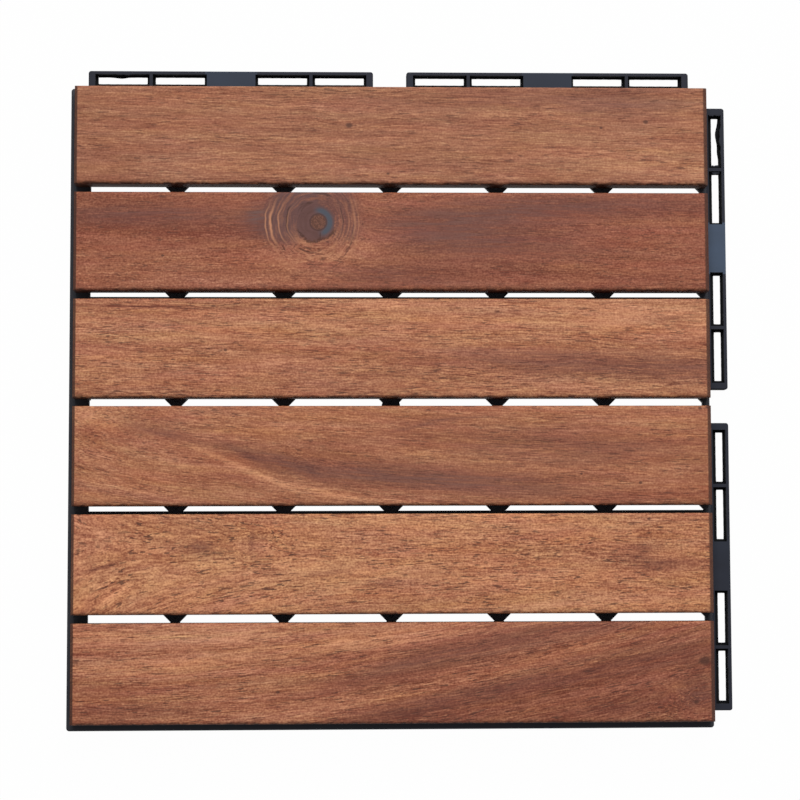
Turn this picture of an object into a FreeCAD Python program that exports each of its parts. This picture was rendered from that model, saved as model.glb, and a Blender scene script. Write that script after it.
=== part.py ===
import FreeCAD, Part
import math
import os

# Interlocking deck tile: six wooden slats screwed from below to one moulded plastic base grid.
# Millimetres, +Z up. The origin is the centre of the laying module, on the base's underside.
# The clip loops are on the +X and +Y sides, and the flanges that cover them are on -X and -Y.

# Laying module
MODULE = 300.0
TILE_CLEARANCE = 0.6
CELLS = 6

# Base grid
BASE_HEIGHT = 8.0
GRID_DEPTH = 3.0
RIM_WIDTH = 3.4
WALL_THICKNESS = 2.2
RIM_ROUNDING = 0.9
CORNER_RADIUS = 1.4
DIAGONAL_RIB = 3.0
CROSS_RIB = 2.4
CROSS_RIB_CELLS = (-1, 1)
RIB_EDGE = 0.4
WEB_REACH = 5.0

# Legs under the grid
FOOT_LENGTH = 12.0
BOSS_WIDTH = 11.0
BOSS_SIDES = 8
HUB_DIAMETER = 8.5

# Clip loops
LOOP_HEIGHT = 4.4
LOOP_REACH = 9.3
LOOP_SPACING = 15.8
LOOP_CORNER = 1.2
LOOP_EDGE = 0.5
INNER_BAR = 1.7
OUTER_BAR = 1.5
INNER_LIP = 1.8
OUTER_LIP = 0.6
END_LIP = 0.95
LIP_THICKNESS = 1.0
LOOP_BLOCK = 24.8
CROSSBAR = 3.4
END_BAR = 4.1

# Flanges and the teeth that drop into a neighbour's loops
FLANGE_COVER = 0.7
TOOTH_CLEARANCE = 0.3
TOOTH_END_CLEARANCE = 0.5
TOOTH_LIFT = 0.7
TOOTH_TAPER = 0.8
FLANGE_FOOT = 11.0
CORNER_FOOT_CLEARANCE = 1.2

# Slats
SLAT_COUNT = 6
SLAT_THICKNESS = 11.0
SLAT_GAP = 3.8
SETBACK_LEFT = 2.8
SETBACK_RIGHT = 1.2
SETBACK_FRONT = 3.5
SETBACK_BACK = 0.9
LONG_EDGE_RADIUS = 1.4
END_CHAMFER_LEFT = 1.4
END_CHAMFER_RIGHT = 2.0
UNDER_EDGE = 0.5

# Screws, driven upwards through the bosses; they and their holes are drawn with flats, as there are so many
SCREW_COLUMNS = (0, 2, 3, 5)
SCREW_SHANK = 3.5
SCREW_HEAD = 7.0
SCREW_LENGTH = 15.0
SCREW_POINT = 2.2
HEAD_RIM = 0.4
HEAD_RECESS = 1.4
HEAD_CLEARANCE = 0.3
SHANK_CLEARANCE = 0.2
SEAT_CLEARANCE = 0.1
PILOT_CLEARANCE = 0.1
PILOT_EXTRA_DEPTH = 0.6
POINT_WIDTH = 0.4
SCREW_SIDES = 12

# Worked out from the sizes above
half = (MODULE - TILE_CLEARANCE) / 2
cell = MODULE / CELLS
grid_floor = BASE_HEIGHT - GRID_DEPTH
rim_inner = half - RIM_WIDTH
wall_inner = half - WALL_THICKNESS
flange_width = LOOP_REACH - TILE_CLEARANCE + FLANGE_COVER
flange_inner = -half + flange_width
loop_pitch = MODULE / 2
loop_length = loop_pitch - LOOP_SPACING
opening_length = (loop_length - LOOP_BLOCK - 2 * CROSSBAR - 2 * END_BAR) / 4
opening_near = half + INNER_BAR + INNER_LIP
opening_far = half + LOOP_REACH - OUTER_BAR - OUTER_LIP
slat_left = -half + SETBACK_LEFT
slat_right = half - SETBACK_RIGHT
slat_front = -half + SETBACK_FRONT
slat_back = half - SETBACK_BACK
slat_width = (slat_back - slat_front - (SLAT_COUNT - 1) * SLAT_GAP) / SLAT_COUNT
slat_pitch = slat_width + SLAT_GAP
slat_top = BASE_HEIGHT + SLAT_THICKNESS
head_cone = (SCREW_HEAD - SCREW_SHANK) / 2

# How far one solid runs into the next before the two are joined
BITE = 0.5

UP = FreeCAD.Vector(0, 0, 1)
ORIGIN = FreeCAD.Vector(0, 0, 0)


def block(low, high):
    """Box between two corners."""
    size = [b - a for a, b in zip(low, high)]
    return Part.makeBox(*size, FreeCAD.Vector(*low))


def prism(points, travel):
    """Closed outline carried along a straight travel."""
    outline = [FreeCAD.Vector(*p) for p in points]
    face = Part.Face(Part.makePolygon(outline + outline[:1]))
    return face.extrude(FreeCAD.Vector(*travel))


def ring(sides, radius, z):
    """Level regular polygon about the Z axis, with a flat towards +X."""
    corners = [math.tau * (k + 0.5) / sides for k in range(sides)]
    points = [FreeCAD.Vector(radius * math.cos(a), radius * math.sin(a), z) for a in corners]
    return Part.makePolygon(points + points[:1])


def faceted(profile, sides, x, y):
    """Upright many-sided solid through radius and height pairs, lowest first."""
    solid = Part.makeLoft([ring(sides, radius, z) for radius, z in profile], True, True)
    solid.translate(FreeCAD.Vector(x, y, 0))
    return solid


def swap_sides(shape):
    """The same form on the other pair of sides: X and Y change places."""
    return shape.mirror(ORIGIN, FreeCAD.Vector(1, -1, 0))


def on_both_sides(shapes):
    """Each shape together with its copy on the other pair of sides."""
    return list(shapes) + [swap_sides(s) for s in shapes]


def upright(edge):
    """True for an edge that runs straight up."""
    a, b = edge.Vertexes[0].Point, edge.Vertexes[-1].Point
    return abs(a.x - b.x) < 1e-6 and abs(a.y - b.y) < 1e-6 and abs(a.z - b.z) > 1e-6


def at_height(edge, z):
    """True for an edge that lies wholly at one height."""
    return all(abs(v.Point.z - z) < 1e-6 for v in edge.Vertexes)


def frame_shell():
    """Rim, walls and flanges: one rounded slab, opened above the lattice and hollowed below the flanges."""
    slab = block((-half, -half, 0), (half, half, BASE_HEIGHT))
    slab = slab.makeFillet(CORNER_RADIUS, [e for e in slab.Edges if upright(e)])
    slab = slab.makeFillet(RIM_ROUNDING, [e for e in slab.Edges if at_height(e, BASE_HEIGHT)])
    window = block((flange_inner, flange_inner, grid_floor), (rim_inner, rim_inner, BASE_HEIGHT))
    below = block((-half - BITE, -half - BITE, 0), (wall_inner, wall_inner, grid_floor))
    return slab.cut(window).cut(below)


def rib(width, length):
    """Straight rib along X, centred on the origin, flush with the top and with eased top edges."""
    side = width / 2
    crown = side - RIB_EDGE
    shoulder = BASE_HEIGHT - RIB_EDGE
    section = [(side, grid_floor), (side, shoulder), (crown, BASE_HEIGHT),
               (-crown, BASE_HEIGHT), (-side, shoulder), (-side, grid_floor)]
    return prism([(-length / 2, y, z) for y, z in section], (length, 0, 0))


def lattice():
    """Diagonal ribs both ways through every cell corner, and straight ribs, clipped inside the rim."""
    bars = []
    longest = 2 * MODULE
    for k in range(1 - CELLS, CELLS):
        for turn in (45, -45):
            bar = rib(DIAGONAL_RIB, longest)
            bar.rotate(ORIGIN, UP, turn)
            bar.translate(FreeCAD.Vector(0, k * cell, 0))
            bars.append(bar)
    for k in CROSS_RIB_CELLS:
        bar = rib(CROSS_RIB, longest)
        bar.translate(FreeCAD.Vector(0, k * cell, 0))
        bars += on_both_sides([bar])
    low, high = flange_inner - BITE, rim_inner + BITE
    inside = block((low, low, 0), (high, high, BASE_HEIGHT))
    return [bar.common(inside) for bar in bars]


def corner_webs():
    """Webs that fill the corners towards +Y and -Y where two diagonal ribs cross on the cells' corners."""
    shapes = []
    height = (0, 0, GRID_DEPTH - RIB_EDGE)
    for column in range(1 - CELLS // 2, CELLS // 2):
        for row in range(1 - CELLS // 2, CELLS // 2):
            x, y = column * cell, row * cell
            for side in (-WEB_REACH, WEB_REACH):
                corners = [(x, y), (x + WEB_REACH, y + side), (x - WEB_REACH, y + side)]
                shapes.append(prism([(a, b, grid_floor) for a, b in corners], height))
    return shapes


def cell_centre(index):
    """Middle of a lattice cell, counted from the -X or the -Y side."""
    return (index + 0.5) * cell - MODULE / 2


def screw_boss(x, y):
    """Eight-sided boss from the ground to the slats, with flats square to the ribs that meet there."""
    corner = BOSS_WIDTH / 2 / math.cos(math.pi / BOSS_SIDES)
    return faceted([(corner, 0), (corner, BASE_HEIGHT)], BOSS_SIDES, x, y)


def cross_foot(x, y):
    """Plain foot where two diagonal ribs cross: both ribs carried down to the ground."""
    reach = FOOT_LENGTH / 2
    side = DIAGONAL_RIB / 2
    blades = []
    for turn in (45, -45):
        blade = block((-reach, -side, 0), (reach, side, grid_floor + BITE))
        blade.rotate(ORIGIN, UP, turn)
        blade.translate(FreeCAD.Vector(x, y, 0))
        blades.append(blade)
    return blades


def legs():
    """A screw boss or a plain foot under every cell's middle."""
    shapes = []
    for column in range(CELLS):
        for row in range(CELLS):
            x, y = cell_centre(column), cell_centre(row)
            shapes += [screw_boss(x, y)] if column in SCREW_COLUMNS else cross_foot(x, y)
    return shapes


def hub():
    """Round leg at the tile's centre, where the plastic entered the mould."""
    return Part.makeCylinder(HUB_DIAMETER / 2, BASE_HEIGHT, ORIGIN, UP)


def loop_centres():
    """Middles of the two clip loops along a side."""
    return (-loop_pitch / 2, loop_pitch / 2)


def opening_spans():
    """Start and end of each loop's four openings, from the loop's middle."""
    inner = LOOP_BLOCK / 2
    outer = inner + opening_length + CROSSBAR
    right = [(inner, inner + opening_length), (outer, outer + opening_length)]
    return [(-b, -a) for a, b in right] + right


def clip_loop(centre):
    """Clip loop on the +X wall: a bar frame with four stepped openings and a solid middle."""
    face = half + LOOP_REACH
    frame = block((half - BITE, centre - loop_length / 2, 0), (face, centre + loop_length / 2, LOOP_HEIGHT))
    corners = [e for e in frame.Edges if upright(e) and abs(e.Vertexes[0].Point.x - face) < 1e-6]
    frame = frame.makeFillet(LOOP_CORNER, corners)
    frame = frame.makeChamfer(LOOP_EDGE, [e for e in frame.Edges
                                          if at_height(e, LOOP_HEIGHT) and e.BoundBox.XMax > half + BITE])
    for start, end in opening_spans():
        low, high = centre + start, centre + end
        frame = frame.cut(block((opening_near, low, 0), (opening_far, high, LOOP_HEIGHT)))
        frame = frame.cut(block((half + INNER_BAR, low - END_LIP, LIP_THICKNESS),
                                (face - OUTER_BAR, high + END_LIP, LOOP_HEIGHT)))
    return frame


def flange_tooth(centre, start, end):
    """Tooth under the -X flange, as the opening of the loop that it drops into, less its clearances."""
    near = opening_near - MODULE + TOOTH_CLEARANCE
    far = opening_far - MODULE - TOOTH_CLEARANCE
    low = centre + start + TOOTH_END_CLEARANCE
    high = centre + end - TOOTH_END_CLEARANCE
    tip = TOOTH_LIFT + TOOTH_TAPER
    root = grid_floor + BITE
    outline = [(near, root), (near, tip), (near + TOOTH_TAPER, TOOTH_LIFT),
               (far - TOOTH_TAPER, TOOTH_LIFT), (far, tip), (far, root)]
    return prism([(x, low, z) for x, z in outline], (0, high - low, 0))


def flange_foot():
    """Hollow foot under the -X flange, between the two loops of the neighbour that it covers."""
    side = FLANGE_FOOT / 2
    inner = side - WALL_THICKNESS
    outside = block((-half, -side, 0), (flange_inner, side, grid_floor + BITE))
    hollow = block((-half + WALL_THICKNESS, -inner, 0), (flange_inner + BITE, inner, grid_floor))
    return outside.cut(hollow)


def corner_feet():
    """Feet at the three corners that the flanges reach, clear of the neighbour's loops."""
    reach = loop_pitch / 2 + loop_length / 2 + CORNER_FOOT_CLEARANCE
    high = grid_floor + BITE
    back = block((-half, reach, 0), (flange_inner, wall_inner + BITE, high))
    front = block((-half, -half, 0), (-reach, -reach, high))
    front = front.makeFillet(CORNER_RADIUS, [e for e in front.Edges
                                             if upright(e) and e.BoundBox.XMax < -reach and e.BoundBox.YMax < -reach])
    return on_both_sides([back]) + [front]


def screw_points():
    """Places of every screw, slat by slat."""
    return [(cell_centre(column), cell_centre(row)) for row in range(CELLS) for column in SCREW_COLUMNS]


def screw_hole(x, y):
    """Recess, countersink and shank hole through a boss."""
    head = SCREW_HEAD / 2
    shank = SCREW_SHANK / 2
    seat = HEAD_RECESS + HEAD_RIM - SEAT_CLEARANCE
    profile = [(head + HEAD_CLEARANCE, -BITE), (head + HEAD_CLEARANCE, seat),
               (shank + SHANK_CLEARANCE, seat + head_cone + HEAD_CLEARANCE - SHANK_CLEARANCE),
               (shank + SHANK_CLEARANCE, BASE_HEIGHT + BITE)]
    return faceted(profile, SCREW_SIDES, x, y)


def screw(x, y):
    """Countersunk screw, head down in its boss and point up in the slat."""
    head = SCREW_HEAD / 2
    shank = SCREW_SHANK / 2
    base = HEAD_RECESS
    tip = base + SCREW_LENGTH
    profile = [(head, base), (head, base + HEAD_RIM), (shank, base + HEAD_RIM + head_cone),
               (shank, tip - SCREW_POINT), (POINT_WIDTH / 2, tip)]
    return faceted(profile, SCREW_SIDES, x, y)


def base_grid():
    """The whole moulding as one solid."""
    loops = [clip_loop(c) for c in loop_centres()]
    teeth = [flange_tooth(c, a, b) for c in loop_centres() for a, b in opening_spans()]
    pieces = lattice() + corner_webs() + legs() + [hub()] + corner_feet()
    pieces += on_both_sides(loops + teeth + [flange_foot()])
    grid = frame_shell().multiFuse(pieces)
    grid = grid.cut([screw_hole(x, y) for x, y in screw_points()])
    return grid.removeSplitter()


def slat(index):
    """Slat with rounded long edges and chamfered ends, bored from below for its screws. Index 0 is at +Y."""
    back = slat_back - index * slat_pitch
    front = back - slat_width
    r = LONG_EDGE_RADIUS
    u = UNDER_EDGE
    shoulder = slat_top - r
    arc_inset = r * (1 - math.sqrt(0.5))

    def point(y, z):
        return FreeCAD.Vector(slat_left, y, z)

    edges = [
        Part.makeLine(point(front + u, BASE_HEIGHT), point(back - u, BASE_HEIGHT)),
        Part.makeLine(point(back - u, BASE_HEIGHT), point(back, BASE_HEIGHT + u)),
        Part.makeLine(point(back, BASE_HEIGHT + u), point(back, shoulder)),
        Part.Arc(point(back, shoulder), point(back - arc_inset, slat_top - arc_inset),
                 point(back - r, slat_top)).toShape(),
        Part.makeLine(point(back - r, slat_top), point(front + r, slat_top)),
        Part.Arc(point(front + r, slat_top), point(front + arc_inset, slat_top - arc_inset),
                 point(front, shoulder)).toShape(),
        Part.makeLine(point(front, shoulder), point(front, BASE_HEIGHT + u)),
        Part.makeLine(point(front, BASE_HEIGHT + u), point(front + u, BASE_HEIGHT)),
    ]
    board = Part.Face(Part.Wire(edges)).extrude(FreeCAD.Vector(slat_right - slat_left, 0, 0))
    left, right = END_CHAMFER_LEFT, END_CHAMFER_RIGHT
    ends = [(slat_left + u, BASE_HEIGHT), (slat_right - u, BASE_HEIGHT), (slat_right, BASE_HEIGHT + u),
            (slat_right, slat_top - right), (slat_right - right, slat_top), (slat_left + left, slat_top),
            (slat_left, slat_top - left), (slat_left, BASE_HEIGHT + u)]
    board = board.common(prism([(x, front, z) for x, z in ends], (0, slat_width, 0)))
    pilot = SCREW_SHANK / 2 + PILOT_CLEARANCE
    depth = HEAD_RECESS + SCREW_LENGTH + PILOT_EXTRA_DEPTH
    bore = [(pilot, BASE_HEIGHT - BITE), (pilot, depth)]
    return board.cut([faceted(bore, SCREW_SIDES, x, y) for x, y in screw_points() if front < y < back])


def slat_screws():
    """All the screws as separate solids."""
    return Part.makeCompound([screw(x, y) for x, y in screw_points()])


def save(name, shape):
    """Writes one piece."""
    shape.exportStep(f"parts/{name}.step")


os.makedirs("parts", exist_ok=True)
save("base_grid", base_grid())
for number in range(SLAT_COUNT):
    save(f"slat_{number + 1}", slat(number))
save("slat_screws", slat_screws())
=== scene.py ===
import math
from dataclasses import dataclass

import bpy
import numpy as np
from mathutils import Matrix, Vector

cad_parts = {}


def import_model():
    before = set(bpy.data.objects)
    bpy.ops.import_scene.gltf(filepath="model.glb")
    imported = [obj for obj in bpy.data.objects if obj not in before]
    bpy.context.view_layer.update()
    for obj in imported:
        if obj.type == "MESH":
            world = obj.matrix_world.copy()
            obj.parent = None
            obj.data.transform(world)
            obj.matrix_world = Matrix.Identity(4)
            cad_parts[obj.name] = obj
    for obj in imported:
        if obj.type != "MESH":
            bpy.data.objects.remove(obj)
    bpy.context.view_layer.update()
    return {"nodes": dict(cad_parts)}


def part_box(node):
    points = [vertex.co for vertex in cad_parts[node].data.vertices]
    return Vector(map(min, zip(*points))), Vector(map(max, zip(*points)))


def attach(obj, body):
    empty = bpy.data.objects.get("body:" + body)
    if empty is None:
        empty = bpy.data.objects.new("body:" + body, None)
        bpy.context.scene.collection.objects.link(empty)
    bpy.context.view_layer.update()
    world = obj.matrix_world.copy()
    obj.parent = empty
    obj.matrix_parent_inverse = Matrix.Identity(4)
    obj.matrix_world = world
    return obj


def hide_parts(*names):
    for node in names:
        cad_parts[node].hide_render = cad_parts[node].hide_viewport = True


# Interlocking deck tile: six oiled hardwood slats on a black moulded plastic lattice.
# Shapes are worked out in millimetres, +X along the slats and +Z up, and stored in metres.

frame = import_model()

MM = 0.001
SLATS = 6

# Camera, found from the photograph: where it stands, the point it looks at, its roll, its lens and sensor,
# and the nearest that it sees, in metres
CAMERA_PLACE = (-28.372, -70.294, 986.057)
CAMERA_TARGET = (4.532, 3.400, 0.0)
CAMERA_ROLL = math.radians(-0.19)
CAMERA_LENS = 94.575
CAMERA_SENSOR = 36.0
CAMERA_NEAR = 0.01

# Boards: the edges as the source has them, and how far apart the surface's lines lie on the top along and
# across, on the sides and on the underside
LONG_EDGE_RADIUS = 1.4
END_CHAMFER_LEFT = 1.4
END_CHAMFER_RIGHT = 2.0
UNDER_EDGE = 0.5
SPACING_ALONG = 1.0
SPACING_ACROSS = 0.6
SPACING_SIDE = 1.5
SPACING_UNDER = 3.0

# The slat that holds the knot, and where the knot lies
KNOT_SLAT = 2
KNOT_PLACE = (-33.8, 84.8)

# Angle up to which surfaces are shaded smooth
SMOOTH_ANGLE = math.radians(35)


# Shader expressions


class Wire:
    """A number in a material: an output socket that Python's arithmetic turns into Math nodes."""

    def __init__(self, paint, socket):
        self.paint = paint
        self.socket = socket

    def __add__(self, other):
        return self.paint.math("ADD", self, other)

    def __sub__(self, other):
        return self.paint.math("SUBTRACT", self, other)

    def __rsub__(self, other):
        return self.paint.math("SUBTRACT", other, self)

    def __mul__(self, other):
        return self.paint.math("MULTIPLY", self, other)

    def __truediv__(self, other):
        return self.paint.math("DIVIDE", self, other)

    __radd__ = __add__
    __rmul__ = __mul__

    def above(self, low, high):
        """0 up to low, 1 from high on, and smooth between."""
        return self.paint.rise(self, low, high)

    def below(self, low, high):
        """1 up to low, 0 from high on, and smooth between."""
        return 1 - self.paint.rise(self, low, high)

    def within(self, middle, width):
        """1 at the middle value, falling smoothly to 0 a width away on both sides."""
        return self.paint.math("ABSOLUTE", self - middle).below(0.0, width)


class Paint:
    """A material under construction, on Blender's Principled shader."""

    def __init__(self, name):
        self.material = bpy.data.materials.new(name)
        self.material.use_nodes = True
        self.tree = self.material.node_tree
        self.tree.nodes.clear()
        self.output = self.node("ShaderNodeOutputMaterial")

    def node(self, kind, settings=(), sockets=()):
        """New node of a type: its settings first, then values or links for its sockets."""
        made = self.tree.nodes.new(kind)
        for name, value in dict(settings).items():
            setattr(made, name, value)
        for name, value in dict(sockets).items():
            self.feed(made.inputs[name], value)
        return made

    def feed(self, socket, value):
        """Links a wire or a socket into a socket, or sets its value."""
        if isinstance(value, Wire):
            value = value.socket
        if isinstance(value, bpy.types.NodeSocket):
            self.tree.links.new(value, socket)
        else:
            socket.default_value = value

    def math(self, operation, a, b=0.0):
        """Math node on two numbers or wires."""
        made = self.node("ShaderNodeMath", {"operation": operation}, {0: a, 1: b})
        return Wire(self, made.outputs[0])

    def rise(self, value, low, high):
        """Smooth step of a value from 0 at low to 1 at high."""
        made = self.node("ShaderNodeMapRange", {"interpolation_type": "SMOOTHSTEP"},
                         {"Value": value, "From Min": low, "From Max": high})
        return Wire(self, made.outputs["Result"])

    def attribute(self, name):
        """Vector of a mesh attribute, and its three parts as wires."""
        made = self.node("ShaderNodeAttribute", {"attribute_name": name})
        return made.outputs["Vector"], self.parts(made.outputs["Vector"])

    def parts(self, vector):
        """The three parts of a vector as wires."""
        made = self.node("ShaderNodeSeparateXYZ", (), {0: vector})
        return [Wire(self, socket) for socket in made.outputs]

    def place(self):
        """Object coordinates in millimetres."""
        coordinates = self.node("ShaderNodeTexCoord").outputs["Object"]
        return self.stretch(coordinates, (1 / MM,) * 3)

    def stretch(self, vector, factors):
        """Vector with each part multiplied by its factor."""
        made = self.node("ShaderNodeVectorMath", {"operation": "MULTIPLY"}, {0: vector, 1: factors})
        return made.outputs[0]

    def shift(self, vector, step):
        """Vector moved by a step, given as numbers or as another vector."""
        made = self.node("ShaderNodeVectorMath", {"operation": "ADD"}, {0: vector, 1: step})
        return made.outputs[0]

    def noise(self, vector, size, detail=2.0, roughness=0.5):
        """Noise from 0 to 1 with features of a size in millimetres along each axis."""
        made = self.node("ShaderNodeTexNoise", (), {
            "Vector": self.stretch(vector, tuple(1 / s for s in size)), "Scale": 1.0,
            "Detail": detail, "Roughness": roughness})
        return Wire(self, made.outputs[0])

    def mix(self, a, b, share):
        """Colour a, going over to colour b as the share rises from 0 to 1."""
        made = self.node("ShaderNodeMix", {"data_type": "RGBA", "clamp_factor": True},
                         {0: share, 6: self.colour(a), 7: self.colour(b)})
        return made.outputs[2]

    def colour(self, value):
        """A colour socket as it is, or three numbers made an opaque colour."""
        return value if isinstance(value, bpy.types.NodeSocket) else (*value, 1.0)

    def bump(self, height, distance, strength):
        """Normal of a height field given from 0 to 1 over a distance in millimetres."""
        made = self.node("ShaderNodeBump", (), {
            "Strength": strength, "Distance": distance * MM, "Height": height})
        return made.outputs[0]

    def finish(self, **sockets):
        """Principled shader with the given sockets, wired to the output."""
        shader = self.node("ShaderNodeBsdfPrincipled")
        for name, value in sockets.items():
            self.feed(shader.inputs[name.replace("_", " ")], value)
        self.feed(self.output.inputs["Surface"], shader.outputs[0])
        return self.material


# Surfaces


def skin_mesh(grid, first, last):
    """Points, four-sided faces and triangles of a closed surface over a grid of points in millimetres.
    Along each row the last point meets the first, and fans to one point close the first and last rows."""
    rows, columns = grid.shape[:2]
    at = np.arange(rows * columns).reshape(rows, columns)
    beside = np.roll(at, -1, axis=1)
    quads = np.stack([at[:-1], beside[:-1], beside[1:], at[1:]], axis=-1).reshape(-1, 4)
    start = np.full(columns, rows * columns)
    fans = np.concatenate([
        np.stack([start, beside[0], at[0]], axis=-1),
        np.stack([start + 1, at[-1], beside[-1]], axis=-1)])
    points = np.concatenate([grid.reshape(-1, 3), [first, last]])
    return points, quads, fans


def surface(name, points, *faces):
    """Object from points in millimetres and one or more arrays of faces, smooth up to an angle and facing
    outwards."""
    mesh = bpy.data.meshes.new(name)
    mesh.from_pydata(points * MM, [], [corners for group in faces for corners in group.tolist()])
    mesh.validate()
    if signed_volume(mesh) < 0:
        mesh.flip_normals()
    mesh.shade_smooth()
    mesh.set_sharp_from_angle(angle=SMOOTH_ANGLE)
    made = bpy.data.objects.new(name, mesh)
    bpy.context.scene.collection.objects.link(made)
    return made


def signed_volume(mesh):
    """Volume inside a closed mesh, negative where its faces point inwards: a sixth of the sum of
    each triangle's first corner dotted with the cross product of the other two."""
    mesh.calc_loop_triangles()
    corners = np.empty(len(mesh.loop_triangles) * 3, np.int32)
    mesh.loop_triangles.foreach_get("vertices", corners)
    points = np.empty(len(mesh.vertices) * 3)
    mesh.vertices.foreach_get("co", points)
    a, b, c = points.reshape(-1, 3)[corners].reshape(-1, 3, 3).transpose(1, 0, 2)
    return float(np.einsum("ij,ij->i", a, np.cross(b, c)).sum() / 6)


def mesh_points(made):
    """A mesh object's vertices in millimetres."""
    points = np.empty(len(made.data.vertices) * 3)
    made.data.vertices.foreach_get("co", points)
    return points.reshape(-1, 3) / MM


def store(made, name, values):
    """Keeps three numbers for each vertex as an attribute."""
    attribute = made.data.attributes.new(name, "FLOAT_VECTOR", "POINT")
    attribute.data.foreach_set("vector", np.asarray(values, np.float32).ravel())


def spaced(start, end, spacing):
    """Evenly spaced values from start to end, about a spacing apart."""
    return np.linspace(start, end, max(2, round(abs(end - start) / spacing) + 1))


def board_section(width, height):
    """Outline of a board across its length, centred on its width and down from its top: a flat top, long
    edges rounded to a quarter circle, straight sides and eased lower edges."""
    r, u, side = LONG_EDGE_RADIUS, UNDER_EDGE, width / 2
    turn = np.linspace(0, math.pi / 2, 7)
    across, down = [], []

    def run(ys, zs):
        """Adds one stretch of the outline, without its last point, where the next stretch starts."""
        across.append(np.broadcast_to(ys, np.broadcast(ys, zs).shape)[:-1])
        down.append(np.broadcast_to(zs, np.broadcast(ys, zs).shape)[:-1])

    run(spaced(-side + r, side - r, SPACING_ACROSS), np.array(0.0))
    run(side - r + r * np.sin(turn), -r + r * np.cos(turn))
    run(np.array(side), spaced(-r, u - height, SPACING_SIDE))
    run(np.array([side, side - u]), np.array([u - height, -height]))
    run(spaced(side - u, u - side, SPACING_UNDER), np.array(-height))
    run(np.array([u - side, -side]), np.array([-height, u - height]))
    run(np.array(-side), spaced(u - height, -r, SPACING_SIDE))
    run(-side + r - r * np.cos(turn), -r + r * np.sin(turn))
    return np.concatenate(across), np.concatenate(down)


def board(name, low, high):
    """A slat between two corners: the section carried along X, its top cut by a sloping plane at each end
    and its foot eased there, and each end face closed by shrinking the last section to its middle."""
    (x0, y0, z0), (x1, y1, z1) = low, high
    left, right, u = END_CHAMFER_LEFT, END_CHAMFER_RIGHT, UNDER_EDGE
    across, down = board_section(y1 - y0, z1 - z0)
    xs = np.concatenate([
        [x0], x0 + u * np.array([0.5, 1.0]), spaced(x0 + left - 0.5, x0 + left, 0.25),
        spaced(x0 + left + 0.25, x1 - right - 0.25, SPACING_ALONG),
        x1 - right + np.array([0.0, 0.5, 1.0, 1.5]), [x1]])
    ceiling = np.minimum(z1, np.minimum(z1 - left + xs - x0, z1 - right + x1 - xs))
    ground = z0 + np.maximum(0, u - np.minimum(xs - x0, x1 - xs))
    z = np.clip(z1 + down[None, :], ground[:, None], ceiling[:, None])
    y = np.broadcast_to((y0 + y1) / 2 + across, z.shape)
    grid = np.stack([np.broadcast_to(xs[:, None], z.shape), y, z], axis=-1)
    middle = np.array([0.0, (y0 + y1) / 2, (z0 + z1 - left) / 2])
    shrink = np.array([0.0, 0.5, 0.9])

    def cap(row):
        """A section's smaller and smaller copies towards its middle, and that middle."""
        centre = middle + [row[0, 0], 0, 0]
        return centre + (row - centre) * (1 - shrink)[:, None, None], centre

    start, first = cap(grid[0])
    end, last = cap(grid[-1])
    return surface(name, *skin_mesh(np.concatenate([start[:0:-1], grid, end[1:]]), first, last))


# Wood


@dataclass
class Slat:
    """How one slat was cut and what shows in it, in millimetres, across counted from its middle line."""

    # How light it is
    tone: float
    # Where the log's centre lay: across, below the face, how much deeper it gets per millimetre along at
    # the left end, and the length over which that fades
    pith: tuple
    # How strong and how long its fibres and pores are
    contrast: float = 1.0
    streak: float = 1.0
    # How fast the grain closes in on the pith's line at the left end
    fan: float = 0.0
    # How the grain drifts across, per millimetre and per millimetre squared
    slope: float = 0.0
    curve: float = 0.0
    # How reddish and how rippled it is, how much more green and blue it has, and how far smoke softens it
    red: float = 0.0
    figure: float = 0.0
    tint: tuple = (0.0, 0.0)
    haze: float = 0.2
    # Lifts of the growth layers as (along, across, length, width, lift)
    swells: tuple = ()
    # Soft marks as (along, across, length, width, slant, tone, smoke)
    patches: tuple = ()
    # Pin knots as (along, Y, radius)
    pins: tuple = ()


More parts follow.
